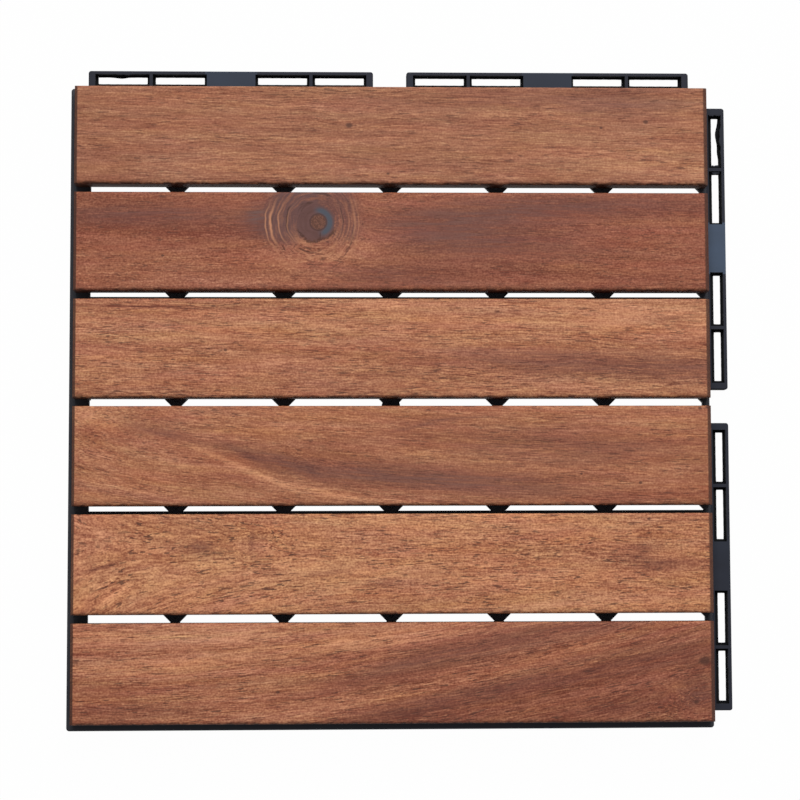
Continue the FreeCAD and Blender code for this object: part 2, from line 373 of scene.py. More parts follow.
LOOKS = {
    1: Slat(
        tone=0.450, pith=(-30, 45, 0.02, 900), contrast=0.67, streak=1.15, slope=-0.01, red=-0.4,
        tint=(0.08, 0.12),
        swells=((-60, 12, 22, 9, 2.0), (-22, 8, 16, 8, 2.5), (90, 10, 30, 10, 1.5)),
        patches=(
            (-137, -10, 22, 12, 0, -0.12, 0), (-110, 17, 30, 5, 0, 0.05, 0),
            (0, 0, 300, 60, 0, 0, 0.08), (60, 17, 50, 5, 0, -0.16, 0.25),
            (112, 15, 28, 7, 0, -0.16, 0.25), (-20, 8, 35, 8, 0, -0.06, 0.05),
            (70, -8, 60, 10, 0, 0.06, 0), (-85, -2, 35, 8, 0, 0.04, 0)),
        pins=((-19.4, 130.3, 1.3), (119.4, 132.4, 1.0), (-1.3, 107.6, 0.6), (98.4, 129.5, 0.6))),
    2: Slat(
        tone=0.272, pith=(25, 40, 0.0, 900), contrast=0.68, streak=0.72, slope=-0.005, red=0.3,
        tint=(0.0, 0.07), haze=0.45,
        swells=((-34, 9, 17, 17, 9.0), (40, -4, 60, 14, 3.0)),
        patches=(
            (-115, 12, 42, 5, 0, -0.22, 0.7), (-110, -7, 60, 13, 0, 0.11, 0),
            (-55, 9, 14, 8, 0, -0.15, 0.9), (-63, 11, 4, 7, 0, -0.12, 0.45),
            (-30, -10, 30, 8, 0, 0.22, 0), (-10, 7, 12, 9, 0.3, 0.12, 0),
            (-10, -2, 13, 4, 0.4, 0.14, 0), (25, 4, 34, 9, -0.1, -0.18, 0.7),
            (55, 14, 40, 6, 0, -0.16, 0.6), (65, -2, 34, 8, 0, -0.10, 0.3),
            (0, -16, 32, 6, 0, -0.12, 0.4), (105, 17, 50, 5, 0, -0.14, 0.5),
            (105, -5, 40, 12, 0, 0.08, 0)),
        pins=((-105.7, 69.1, 0.6),)),
    3: Slat(
        tone=0.553, pith=(-40, 60, 0.03, 900), contrast=0.84, streak=1.0, slope=-0.008,
        swells=((120, 4, 30, 8, 1.0),),
        patches=(
            (-118, 19.3, 32, 0.5, -0.022, -0.6, 0.3), (-60, 18.2, 30, 0.6, -0.01, -0.15, 0.1),
            (0, 16, 150, 7, 0, 0.06, 0), (110, 15, 45, 6, 0, 0.10, 0),
            (130, 13.5, 8, 1.6, 0, -0.25, 0.2), (98, -8.5, 62, 6.5, -0.01, -0.20, 0.45),
            (125, 5, 30, 4, 0, 0.10, 0), (0, 2, 30, 5, 0, -0.08, 0),
            (60, -3, 40, 4, -0.03, -0.08, 0.2), (-5, -15, 42, 7, 0, -0.15, 0.1),
            (140, -10, 25, 6, 0, -0.10, 0.2), (-115, 0, 50, 8, 0, 0.05, 0),
            (-70, 4, 60, 4, 0, 0.03, 0)),
        pins=((-76.6, 25.2, 0.7),)),
    4: Slat(
        tone=0.498, pith=(2, 26, -0.25, 60), contrast=0.71, slope=-0.06, curve=0.0002,
        swells=((-60, -2, 30, 12, 3.0),),
        patches=(
            (-136, 17.5, 14, 4.5, -0.1, 0.28, 0), (-110, 12.5, 14, 4, -0.2, -0.14, 0.2),
            (-95, 7.5, 22, 1.6, -0.25, -0.20, 0.3), (-66, 0, 14, 2.2, -0.5, -0.24, 0.4),
            (-45, -4.5, 20, 4.0, -0.35, -0.22, 0.5), (-10, -8.5, 35, 5, -0.12, -0.24, 0.6),
            (35, -12, 38, 5.5, -0.06, -0.18, 0.5), (75, -14, 30, 5, 0, -0.06, 0.2),
            (-78, -2, 18, 1.2, -0.45, 0.24, 0), (-60, -9, 20, 1.2, -0.45, 0.24, 0),
            (-35, -16, 28, 1.2, -0.22, 0.26, 0), (-5, -20.5, 30, 1.0, -0.1, 0.22, 0),
            (12, 13.5, 12, 0.8, 0.22, -0.14, 0.4), (32, 17, 20, 0.8, 0.05, -0.14, 0.4),
            (40, 20.5, 60, 1.6, 0, 0.15, 0), (95, 1, 50, 8, 0, -0.14, 0.25),
            (60, 6, 50, 7, 0, -0.02, 0.25), (144, 0, 9, 22, 0, -0.08, 0),
            (-125, 0, 30, 22, 0, 0.04, 0), (-110, -2, 40, 5, -0.1, 0.05, 0)),
        pins=((115.0, -36.4, 0.7), (87.6, -32.3, 0.5), (143.1, -1.9, 0.7), (146.4, -1.4, 0.6))),
    5: Slat(
        tone=0.703, pith=(8, 30, 0.1, 60), contrast=0.93, streak=0.85, fan=0.02, figure=0.1,
        tint=(-0.015, -0.05),
        swells=((-60, 10, 10, 10, 3.0), (110, 2, 30, 10, 2.0)),
        patches=(
            (-88, 8, 5, 3, 0, -0.28, 0.4), (-85, 9, 20, 8, 0, -0.06, 0.1),
            (-120, 6, 10, 6, 0, -0.04, 0), (-63, 9, 4, 7, 0, -0.08, 0.1),
            (-29, -4, 10, 3, 0, -0.12, 0.2), (-3, -9, 12, 3, 0, -0.14, 0.2),
            (115, 6, 9, 4, 0.2, -0.18, 0.3), (120, -1, 12, 3, 0, -0.18, 0.3),
            (136, 0.5, 18, 1.0, 0.02, -0.28, 0.3), (60, 18, 90, 3.5, 0, 0.06, 0),
            (-80, -15, 50, 7, 0, 0.06, 0), (-143, 10, 9, 14, 0, -0.10, 0),
            (128, -1, 22, 6, 0, -0.08, 0), (-134, -1.7, 9, 0.9, 0.31, -0.5, 0.4),
            (-132, 9.5, 9, 0.8, -0.5, -0.25, 0.2), (-64, 10, 1.2, 6, 0, -0.2, 0.2)),
        pins=((118.7, -53.1, 0.7),)),
    6: Slat(
        tone=0.482, pith=(-50, 55, 0.0, 900), contrast=0.93, slope=0.13, curve=0.0004, red=0.1,
        tint=(-0.03, 0.0),
        swells=((146, -12, 16, 12, 8.0),),
        patches=(
            (-110, 3, 55, 6, 0.03, 0.24, 0), (-80, 16, 75, 7, 0.02, 0.26, 0),
            (-15, 14, 42, 4.5, 0.08, 0.18, 0), (20, 19, 30, 3, 0.1, 0.14, 0),
            (-60, -4, 60, 6, 0.05, 0.10, 0), (-125, -17, 25, 5, 0.05, -0.10, 0.1),
            (-40, -17, 22, 5, 0.1, 0.10, 0), (-25, -6, 18, 3, 0.25, -0.10, 0.1),
            (15, 6, 30, 6, 0.22, -0.18, 0.4), (60, 16, 30, 6, 0.2, -0.17, 0.35),
            (95, 21, 25, 3, 0.1, -0.15, 0.2), (40, -1, 35, 2.5, 0.25, 0.10, 0),
            (80, 9, 25, 2.5, 0.2, 0.06, 0), (0, -18, 22, 4, 0.15, -0.22, 0.35),
            (35, -11, 25, 5, 0.22, -0.19, 0.35), (105, -6, 50, 14, 0.1, -0.05, 0.05),
            (75, -3, 30, 5.5, 0.2, -0.14, 0.25), (120, 8, 30, 7, 0.2, -0.18, 0.3),
            (110, -14, 40, 8, 0.1, -0.14, 0.1), (75, -14, 14, 3, 0.2, 0.06, 0),
            (100, -9, 18, 2.5, 0.25, 0.10, 0), (142, -11, 9, 6, 0.2, -0.2, 0.3),
            (141, 2, 12, 9, 0.2, -0.22, 0.2), (70, -18, 90, 6, 0.05, -0.10, 0.1),
            (30, -4, 60, 16, 0.1, -0.06, 0)),
        pins=((-52.3, -131.6, 0.7), (143.8, -118.3, 2.2), (139.6, -137.1, 1.0))),
}


# How far the wear and painted shade reach in from the front and back edges, and how far the grain leans
# with depth
FRONT_WEAR_AND_SHADE = 1.0
BACK_WEAR_AND_SHADE = 0.7
LEAN = 0.35


def lay_grain(made, look, middle, top):
    """Stores three attributes. "grain" says where a point lies in the log: along, in the growth layers and
    across. The grain drifts across by slope * x + curve * x^2. The place in the layers is the distance
    from the pith less the pith's own depth, raised by a bell-shaped swell at each knot or bulge. The
    pith's depth goes from its value at the left end by deepening * fade * (1 - exp(-distance / fade)), and
    the distance across shrinks by exp(-fan * fade * exp(-distance / fade)). "edges" says how near the front
    and back edges a point lies, by exp(-distance / reach), and how deep. "patch" holds the tone and smoke
    of the bell-shaped patches along their slanted axes, and the share of end grain."""
    x, y, z = mesh_points(made).T
    across = y - middle
    depth = top - z
    pith_across, pith_depth, deepening, fade = look.pith
    fading = np.exp((x.min() - x) / fade)
    line = across - look.slope * x - look.curve * x ** 2
    line = pith_across + (line - pith_across) * np.exp(-look.fan * fade * fading)
    deep = pith_depth + deepening * fade * (1 - fading)
    ring = np.hypot(line - pith_across, deep + depth) - pith_depth
    for along, side, length, width, lift in look.swells:
        ring = ring + lift * np.exp(-((x - along) / length) ** 2 - ((across - side) / width) ** 2)
    store(made, "grain", np.stack([x, ring, line + LEAN * depth], axis=-1))
    front = np.exp(-(y - y.min()) / FRONT_WEAR_AND_SHADE)
    back = np.exp(-(y.max() - y) / BACK_WEAR_AND_SHADE)
    store(made, "edges", np.stack([front, back, depth], axis=-1))
    tone = np.full_like(x, look.tone)
    smoke = np.zeros_like(x)
    for along, side, length, width, slant, lighter, smoky in look.patches:
        off = across - side - slant * (x - along)
        share = np.exp(-((x - along) / length) ** 2 - (off / width) ** 2)
        tone = tone + lighter * share
        smoke = smoke + smoky * share
    store(made, "patch", np.stack([tone, smoke, end_share(x)], axis=-1))


def end_share(x):
    """1 on the chamfered ends and end faces, 0 on the rest, over a quarter of a millimetre."""
    low, high = x.min(), x.max()
    inside = np.minimum(x - low - END_CHAMFER_LEFT, high - END_CHAMFER_RIGHT - x)
    return np.clip(0.4 - inside / 0.25, 0, 1)


# Wood colours from dark to light, and the stains in them; the end grain colour also serves as painted shade
# on the sides
WOOD_DARK = (0.128, 0.029, 0.013)
WOOD_MID = (0.316, 0.116, 0.060)
WOOD_LIGHT = (0.742, 0.370, 0.192)
WOOD_RED = (0.290, 0.082, 0.044)
SMOKE = (0.138, 0.069, 0.060)
PORE = (0.070, 0.026, 0.018)
# The end grain colour below also serves as painted shade on the slats' sides and edges
END_GRAIN_AND_SHADE = (0.055, 0.022, 0.015)

# Sizes of what follows the grain, in millimetres along it, through the growth layers and across
SWAYS = (28, 9, 9)
BANDS = (200, 3.2, 40)
WIDE_BANDS = (140, 9, 16)
FIBRES = (22, 1.7, 1.7)
THREADS = (6.0, 0.60, 0.60)
LINES = (28, 1.1, 1.1)
PORES = (5.5, 0.55, 0.55)
CLOUDS = (22, 7, 7)
RED_CLOUDS = (70, 5, 9)
TINTS = (45, 4, 6)

# Sizes of what doesn't, along X, Y and Z
RIPPLES = (2.6, 3.4, 3.4)
GRIT = (1.0, 0.9, 0.9)
CHIPS = (4.0, 2.0, 2.0)
SPECKLES = (0.5, 0.5, 0.5)

# Shifts that keep each slat and each of these fields from repeating another
SLAT_SHIFT = (1000.0, 37.0, 11.0)
PORE_SHIFT = (50, 5, 5)
LINE_SHIFT = (90, 9, 9)
GREEN_SHIFT = (200, 20, 20)
BLUE_SHIFT = (400, 40, 40)


def drawn_out(size, streak):
    """A feature's size with its length along the grain multiplied."""
    return (size[0] * streak, *size[1:])


def wood(number, look):
    """Oiled hardwood. Its tone adds up bands by growth layer, fibres, threads and thin lines along the
    grain, and fine ripple and grit. Over its colour lie reddish clouds, tints, smoke, pores, pin knots, the
    knot in one slat, long edges with wear and painted shade, painted shade deepening down the sides, and
    dark end grain."""
    paint = Paint(f"wood_{number}")
    grain, _ = paint.attribute("grain")
    _, (tone, smoke, end) = paint.attribute("patch")
    grain = paint.shift(grain, tuple(step * number for step in SLAT_SHIFT))

    # Fields from 0 to 1, along a grain that sways a little
    sway = (paint.noise(grain, SWAYS, 2) - 0.5) * 1.6
    swayed = paint.node("ShaderNodeCombineXYZ", (), {1: sway, 2: sway}).outputs[0]
    grain = paint.shift(grain, swayed)
    bands = paint.noise(grain, BANDS, 3, 0.6)
    wide_bands = paint.noise(grain, WIDE_BANDS, 2, 0.5)
    fibres = paint.noise(grain, drawn_out(FIBRES, look.streak), 3, 0.65)
    threads = paint.noise(grain, drawn_out(THREADS, look.streak), 2, 0.7)
    cloud = paint.noise(grain, CLOUDS, 2)
    ripple = paint.noise(paint.place(), RIPPLES, 2, 0.55)
    grit = paint.noise(paint.place(), GRIT, 1)
    pore_field = paint.noise(paint.shift(grain, PORE_SHIFT), drawn_out(PORES, look.streak), 1, 0.5)
    pores = pore_field.above(0.60, 0.65) * cloud.above(0.25, 0.60)
    line_field = paint.noise(paint.shift(grain, LINE_SHIFT), drawn_out(LINES, look.streak), 2, 0.55)
    dark_lines = line_field.within(0.50, 0.045) * cloud.above(0.35, 0.60)
    light_lines = line_field.within(0.38, 0.045)

    # Tone: each field about its middle, times how far it shows
    vigour = look.contrast * (1 - look.haze * smoke)
    shade = (bands - 0.5) * 0.45 + (wide_bands - 0.5) * 0.45 + (fibres - 0.5) * 0.24
    shade = shade + (ripple - 0.5) * (0.1 + 0.5 * look.figure)
    shade = shade + ((threads - 0.5) * 1.35 + (grit - 0.5) * (1.0 / look.streak)) * vigour
    shade = shade + (light_lines * 0.26 - dark_lines * 0.38 + 0.03) * vigour
    tone = tone + shade

    # Colour by tone, and what tints, stains and marks it
    colour = paint.mix(WOOD_DARK, WOOD_MID, tone * 2)
    colour = paint.mix(colour, WOOD_LIGHT, (tone - 0.5) * 1.33)
    red = (paint.noise(grain, RED_CLOUDS, 2) - 0.4 + look.red * 0.5) * 0.6
    colour = paint.mix(colour, WOOD_RED, red)
    green = paint.noise(paint.shift(grain, GREEN_SHIFT), TINTS, 3, 0.6) - 0.5
    blue = paint.noise(paint.shift(grain, BLUE_SHIFT), TINTS, 3, 0.6) - 0.5
    more_green, more_blue = look.tint
    tint = paint.node("ShaderNodeCombineXYZ", (), {
        0: 1.0, 1: 1 + more_green + green * 0.42, 2: 1 + more_blue + green * 0.35 + blue * 0.5})
    colour = paint.stretch(colour, tint.outputs[0])
    streaked = 0.4 + 1.2 * line_field.above(0.2, 0.8)
    colour = paint.mix(colour, SMOKE, smoke * (0.35 + 0.6 * wide_bands) * streaked)
    colour = paint.mix(colour, PORE, pores * vigour * 0.85)
    if look.pins:
        colour = paint.mix(colour, PORE, pin_knots(paint, look.pins) * 0.8)
    if number == KNOT_SLAT:
        colour = knot(paint, colour)

    # Wear on the long edges with painted shade over the side faces, strongest on the front, more painted
    # shade deepening down the sides, and end grain
    _, (front, back, depth) = paint.attribute("edges")
    chips = paint.noise(paint.place(), CHIPS, 2, 0.65)
    ragged = depth.below(1.2, 3.0)
    # Wear and painted shade: near the top the edges darken in chips, below it the whole side face is
    # darkened, far more on the front than the back
    edge_wear_and_shade = front * (0.25 + 0.9 * (0.45 + (chips.above(0.42, 0.60) - 0.45) * ragged))
    edge_wear_and_shade = edge_wear_and_shade + back * (0.3 + (chips.above(0.52, 0.64) - 0.3) * ragged) * 0.7
    colour = paint.mix(colour, END_GRAIN_AND_SHADE, edge_wear_and_shade)
    # Painted shade: the sides darken with depth below the top, as shade between the slats
    colour = paint.mix(colour, END_GRAIN_AND_SHADE, depth.above(0.5, 5.0) * 0.45)
    speckle = paint.noise(paint.place(), SPECKLES, 1)
    colour = paint.mix(colour, END_GRAIN_AND_SHADE, end * (0.72 + 0.2 * speckle))

    relief = fibres * 0.4 + threads * 0.3 - pores
    roughness = 0.56 + 0.18 * fibres
    return paint.finish(Base_Color=colour, Roughness=roughness, Specular_IOR_Level=0.18,
                        Normal=paint.bump(relief, 0.05, 0.5))


def pin_knots(paint, pins):
    """Dark spots: 1 at the middle of each pin knot, 0 from its radius on."""
    x, y, _ = paint.parts(paint.place())
    spots = 0.0
    for along, side, radius in pins:
        dx, dy = (x - along) * 0.75, y - side
        distance = paint.math("SQRT", dx * dx + dy * dy)
        spots = distance.below(radius * 0.5, radius * 1.3) + spots
    return spots


# The knot: its bright arcs as (radius, brightness, width), its other radii, and its colours
KNOT_ARCS = ((11.0, 0.40, 0.5), (14.3, 0.65, 0.5), (17.1, 1.0, 0.75), (18.9, 0.75, 0.45))
KNOT_CORE = 3.5
KNOT_SHELL = 6.9
KNOT_HALO = 8.9
KNOT_REACH = 23.0
KNOT_BROWN = (0.155, 0.064, 0.042)
KNOT_BLUE = (0.062, 0.066, 0.084)
KNOT_GREY = (0.112, 0.051, 0.046)
KNOT_RIM = (0.048, 0.018, 0.012)
KNOT_BRIGHT = (0.460, 0.205, 0.110)
LEFT_STRETCH = 1.3


def knot(paint, colour):
    """Round knot: a speckled core, a blue-grey crescent on its right, a smoky halo with a ragged lower
    edge, a crack, and uneven rings that lie further out on the left. The rings follow
    sqrt(ex^2 + 0.7 dy^2) plus a wobble, with ex the distance along, divided by the stretch on the left."""
    # How far out a point lies, on the left counted shorter
    place = paint.place()
    x, y, _ = paint.parts(place)
    wobble = paint.noise(place, (6, 6, 6), 2) - 0.5
    ragged = paint.noise(place, (1.0, 1.0, 1.0), 2) - 0.5
    dx, dy = x - KNOT_PLACE[0], y - KNOT_PLACE[1]
    left = dx.below(-1.5, 1.5)
    ex = dx / (1 + (LEFT_STRETCH - 1) * left)
    reach = paint.math("SQRT", ex * ex + dy * dy * 0.70) + wobble * 1.5
    distance = paint.math("SQRT", dx * dx + dy * dy)

    # Smoke, bright and dark streaks and bright arcs round it
    spread = paint.node("ShaderNodeCombineXYZ", (), {0: reach, 1: dx * 0.1, 2: dy * 0.1}).outputs[0]
    streaks = paint.noise(spread, (1.5, 1.2, 1.2), 2, 0.7)
    zone = reach.below(KNOT_REACH - 7, KNOT_REACH)
    level = (dy + wobble * 6).above(-13.0, -4.0)
    colour = paint.mix(colour, KNOT_GREY, zone * level * (0.76 + 0.42 * left) * streaks.below(0.32, 0.95))
    colour = paint.mix(colour, KNOT_BRIGHT, zone * (streaks.above(0.50, 0.64) * (0.50 - 0.38 * level)))
    colour = paint.mix(colour, KNOT_RIM, zone * streaks.below(0.34, 0.44) * 0.65)
    arcs = 0.0
    for radius, brightness, width in KNOT_ARCS:
        arcs = reach.within(radius, width) * brightness + arcs
    colour = paint.mix(colour, KNOT_BRIGHT, arcs * dy.within(-1.0, 15.0) * (0.5 + 0.5 * left))

    # The halo, its dark rim below and the crescent
    edge = distance + ragged * 3.0 + wobble * 3.0 + 0.12 * dx
    halo = edge.below(KNOT_HALO - 0.8, KNOT_HALO)
    rim = edge.within(KNOT_HALO, 1.0) * dy.below(-5.0, -2.0)
    colour = paint.mix(colour, KNOT_GREY, halo * (0.65 + 0.5 * streaks))
    stained = streaks.above(0.45, 0.7) * 0.25 + wobble.above(-0.05, 0.2) * 0.2
    colour = paint.mix(colour, KNOT_RIM, halo * stained)
    colour = paint.mix(colour, KNOT_RIM, rim * 0.8)
    crescent = distance.within((KNOT_CORE + KNOT_SHELL) / 2 + 0.2, 2.4) * (dx + dy * 0.2).above(-2.0, 3.0)
    colour = paint.mix(colour, KNOT_BLUE, crescent * (1.0 + 0.5 * streaks))

    # The core and its crack
    colour = paint.mix(colour, KNOT_RIM, (distance + ragged * 0.6).within(KNOT_CORE + 0.3, 0.7) * 0.6)
    core = (distance + ragged * 0.6).below(KNOT_CORE - 0.4, KNOT_CORE + 0.2)
    speckle = paint.noise(place, (0.75, 0.75, 0.75), 1).above(0.44, 0.60)
    colour = paint.mix(colour, paint.mix(KNOT_RIM, KNOT_BROWN, 0.44 + 0.55 * speckle), core)
    crack = (dx - 0.9 + ragged * 0.4).within(0.0, 0.4) * dy.within(-6.3, 2.8)
    return paint.mix(colour, KNOT_RIM, crack * 0.8)


def make_slats():
    """Every slat's detailed board with its own wood, standing for its plain solid."""
    for number in range(1, SLATS + 1):
        node = f"slat_{number}"
        low, high = (np.array(corner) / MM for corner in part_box(node))
        made = board(f"{node}_board", low, high)
        look = LOOKS[number]
        lay_grain(made, look, (low[1] + high[1]) / 2, high[2])
        made.data.materials.append(wood(number, look))
        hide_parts(node)
        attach(made, "root")


# Plastic and steel

PLASTIC = (0.0128, 0.0142, 0.0210)
# Paler colour for the grid above the loops, painted light that lifts it out of shade
PLASTIC_GRID_PAINTED_LIGHT = (0.0390, 0.0400, 0.0480)
# Painted bluish sheen for the loops' solid blocks
PLASTIC_PAINTED_SHEEN = (0.0520, 0.0760, 0.1210)
# Painted shade: near black for the pockets between the bars
PLASTIC_PAINTED_SHADE = (0.0030, 0.0036, 0.0050)
PLASTIC_GRAIN = (0.28, 0.28, 0.28)
PLASTIC_FLOW = (18, 9, 9)
STEEL = (0.55, 0.54, 0.52)
STEEL_DULL = (0.36, 0.35, 0.34)
STEEL_CLOUDS = (1.2, 1.2, 1.2)

# Clip loops, as in the source: their middles along a side, half of their solid blocks, where they start and
# end, their height, and their openings
LOOP_MIDDLE = 75.0
BLOCK_HALF = 12.4
LOOP_START = 149.7
LOOP_END = 159.0
LOOP_HEIGHT = 4.4
OPENING_NEAR = 153.2
OPENING_FAR = 156.9
OPENING_SPANS = ((-63.0, -39.4), (-36.0, -12.4), (12.4, 36.0), (39.4, 63.0))


def plastic():
    """Black moulding with a fine matt grain and faint flow marks. The solid blocks in the loops are
    smoother and carry a painted bluish sheen, strongest towards +Y on the +X side; the grid is painted a
    little paler than the bars, as painted light lifting it out of shade; and the pockets between the bars
    are painted near black as shade."""
    paint = Paint("moulded_plastic")
    place = paint.place()
    x, y, z = paint.parts(place)
    grain = paint.noise(place, PLASTIC_GRAIN, 2, 0.6)
    flow = paint.noise(place, PLASTIC_FLOW, 2)
    colour = paint.mix(PLASTIC, tuple(1.9 * c for c in PLASTIC), flow)
    # Painted light: the grid above the loops is made paler than the bars
    colour = paint.mix(colour, PLASTIC_GRID_PAINTED_LIGHT, z.above(LOOP_HEIGHT + 0.2, LOOP_HEIGHT + 0.6))
    # Masks for the painted sheen on the loops' solid blocks, rising towards +Y on the +X side and towards
    # -X on the +Y side, and for the painted shade in the pockets between the bars
    painted_sheen = 0.0
    pocket_painted_shade = 0.0
    for out, along, share in ((x, y, y.above(-100, 90)), (y, x, 0.26 - x * 0.001)):
        offset = paint.math("ABSOLUTE", paint.math("ABSOLUTE", along) - LOOP_MIDDLE)
        block = out.above(LOOP_START, LOOP_START + 0.4) * offset.below(BLOCK_HALF - 0.2, BLOCK_HALF)
        painted_sheen = block * share + painted_sheen
        # Mask of the pockets between the bars, where the painted shade goes
        beyond = out.above(LOOP_START + 0.4, LOOP_START + 0.6)
        pocket_painted_shade = beyond * out.below(LOOP_END - 0.6, LOOP_END - 0.4) + pocket_painted_shade
    pocket_painted_shade = pocket_painted_shade * z.below(LOOP_HEIGHT - 0.5, LOOP_HEIGHT - 0.15)
    # Painted sheen on the blocks, then painted shade in the pockets
    colour = paint.mix(colour, PLASTIC_PAINTED_SHEEN, painted_sheen * (0.85 + 0.5 * (flow - 0.5)))
    colour = paint.mix(colour, PLASTIC_PAINTED_SHADE, pocket_painted_shade)
    roughness = 0.56 + 0.16 * flow + 0.10 * grain - 0.14 * painted_sheen + 0.15 * pocket_painted_shade
    return paint.finish(Base_Color=colour, Roughness=roughness, Specular_IOR_Level=0.17,
                        Normal=paint.bump(grain, 0.02, 0.6))


def steel():
    """Zinc-plated screw steel."""
    paint = Paint("screw_steel")
    place = paint.place()
    cloud = paint.noise(place, STEEL_CLOUDS, 2)
    colour = paint.mix(STEEL, STEEL_DULL, cloud)
    return paint.finish(Base_Color=colour, Metallic=1.0, Roughness=0.28 + 0.2 * cloud)


# Screws, as in the source, with a thread inside the plain shank's outline and a cross recess in the head
SCREW_COLUMNS = (-125.0, -25.0, 25.0, 125.0)
SCREW_ROWS = (-125.0, -75.0, -25.0, 25.0, 75.0, 125.0)
SCREW_SHANK = 3.5
SCREW_HEAD = 7.0
SCREW_LENGTH = 15.0
SCREW_POINT = 2.2
SCREW_SIDES = 48
HEAD_RIM = 0.4
HEAD_RECESS = 1.4
THREAD_PITCH = 1.6
THREAD_DEPTH = 0.5
CROSS_ARM = 2.2
CROSS_WIDTH = 1.3
CROSS_DEPTH = 1.5


def screw_points():
    """One screw on the Z axis as rings of points. The thread's radius at height z and angle a falls from
    its crest by depth * min(1, 2.6 * |2 * frac(z / pitch - a / turn) - 1|), and fades out under the head.
    The cross is a pit of |x| and |y| in the head, deepest on its middle."""
    head, shank = SCREW_HEAD / 2, SCREW_SHANK / 2
    turn = np.arange(SCREW_SIDES) * math.tau / SCREW_SIDES
    base = HEAD_RECESS
    neck = base + HEAD_RIM + head - shank
    tip = base + SCREW_LENGTH

    # The head's face with the cross
    face = np.concatenate([np.linspace(0.2, 2.4, 12), [2.8, 3.2, head - 0.12]])[:, None]
    x, y = np.abs(face * np.cos(turn)), np.abs(face * np.sin(turn))
    narrow, far = np.minimum(x, y), np.maximum(x, y)
    inside = np.clip((CROSS_WIDTH / 2 - narrow) / 0.4, 0, 1) * np.clip((CROSS_ARM - far) / 0.5, 0, 1)
    face_height = base + CROSS_DEPTH * inside * (1 - 0.3 * far / CROSS_ARM)

    # The shank with its thread, down to the point
    heights = spaced(neck, tip - 0.05, 0.3)[:, None]
    phase = heights / THREAD_PITCH - turn / math.tau
    groove = np.minimum(1, 2.6 * np.abs(2 * (phase - np.floor(phase)) - 1))
    depth = THREAD_DEPTH * groove * np.clip((heights - neck) / 2, 0, 1)
    taper = np.clip((tip - heights) / SCREW_POINT, 0.09, 1)

    # Face, rim and shank together
    rim = np.array([base + 0.1, base + HEAD_RIM])[:, None]
    around = np.ones(SCREW_SIDES)
    radius = np.concatenate([face * around, head * np.ones((2, SCREW_SIDES)), (shank - depth) * taper])
    height = np.concatenate([face_height, rim * around, heights * around])
    grid = np.stack([radius * np.cos(turn), radius * np.sin(turn), height], axis=-1)
    return grid, (0, 0, base + CROSS_DEPTH), (0, 0, tip)


def make_screws():
    """All the screws as one piece of separate shells, standing for the plain ones."""
    points, *faces = skin_mesh(*screw_points())
    places = np.array([(x, y, 0.0) for y in SCREW_ROWS for x in SCREW_COLUMNS])
    steps = len(points) * np.arange(len(places))[:, None, None]
    points = (points[None] + places[:, None]).reshape(-1, 3)
    faces = [(group + steps).reshape(-1, group.shape[1]) for group in faces]
    made = surface("slat_screws_detailed", points, *faces)
    made.data.materials.append(steel())
    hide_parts("slat_screws")
    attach(made, "root")


# What the mould left: a gate scar on the hub, its rings as shares of its size, and flash as (name, start,
# end, way out, length, height) with its points a step apart
GATE_PLACE = (-0.3, 1.2, 8.0)
GATE_SIZE = (1.7, 1.2, 0.7)
GATE_RINGS = (1.0, 0.93, 0.75, 0.45, 0.2)
FLASH = (
    ("slot_side", (157.6, 137.0, 4.3), (157.6, 118.0, 4.3), (-1, 0, 0), 1.3, 3.0),
    ("slot_end", (151.6, 139.1, 4.3), (157.4, 139.1, 4.3), (0, -1, 0), 1.2, 1.4),
    ("crossbar_upper", (152.4, 114.3, 4.3), (156.4, 114.3, 4.3), (0, 1, 0), 0.9, 1.2),
    ("crossbar_lower", (152.8, 111.1, 4.3), (156.8, 111.1, 4.3), (0, -1, 0), 0.9, 1.2),
    ("low_slot_side", (157.6, -112.0, 4.3), (157.6, -136.0, 4.3), (-1, 0, 0), 0.7, 2.4),
    ("top_slot_side", (-133.0, 157.6, 4.3), (-116.0, 157.6, 4.3), (0, -1, 0), 0.6, 2.4))
FLASH_STEP = 0.35

# Flash round the loops' openings: how far it reaches in, how far its edge wanders, how round its corners
# are and how far from them, how far apart its points lie, the heights of its four rows of points, and
# bulges on its outer edge as (side, along, length, reach)
SLOT_FLASH = 0.22
SLOT_WANDER = 0.02
SLOT_CORNER = 0.06
SLOT_CORNER_REACH = 1.2
SLOT_STEP = 0.6
SLOT_HEIGHTS = (0.9, 0.7, 0.25, 0.1)
SLOT_BULGES = (("right", 130.0, 4.5, 1.3), ("right", 122.0, 3.0, 0.5), ("top", -127.0, 3.0, 0.5))


